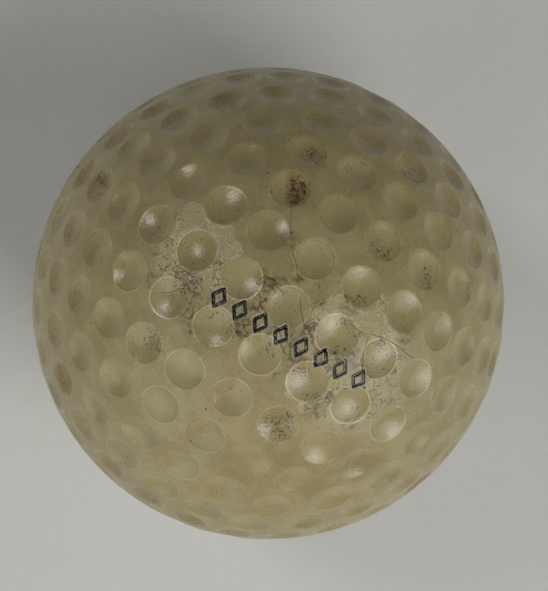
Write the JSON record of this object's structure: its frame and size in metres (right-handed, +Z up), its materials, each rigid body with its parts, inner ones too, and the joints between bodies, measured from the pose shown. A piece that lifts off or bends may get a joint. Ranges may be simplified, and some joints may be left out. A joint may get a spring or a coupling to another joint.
{
  "type": "golf ball",
  "caption": "Dimpled playing ball with a moulded two-half cover over wound rubber layers and a paste-filled rubber centre.",
  "frame": {"origin": "centre of the ball", "axes": "+Z is the pole of the cover's mould and the plane z = 0 is the parting line; +X lies on the dimple-free great circle that carries the stamped mark; right-handed, +Z up"},
  "size_m": [0.0426, 0.0426, 0.0426],
  "materials": {
    "cover_balata": "aged waxy balata under a thin lacquer, satin",
    "rubber_thread": "natural latex thread, matt",
    "rubber_tape": "aged brown rubber tape, matt",
    "sac_rubber": "moulded black rubber, satin",
    "plug_rubber": "dark red-brown rubber, matt",
    "centre_paste": "stiff white-grey paste"
  },
  "bodies": {
    "root": {"cover_upper": "cover_balata", "cover_lower": "cover_balata", "thread_winding": "rubber_thread", "tape_winding": "rubber_tape", "centre_sac": "sac_rubber", "sac_plug": "plug_rubber", "centre_paste": "centre_paste"}
  },
  "joints": []
}
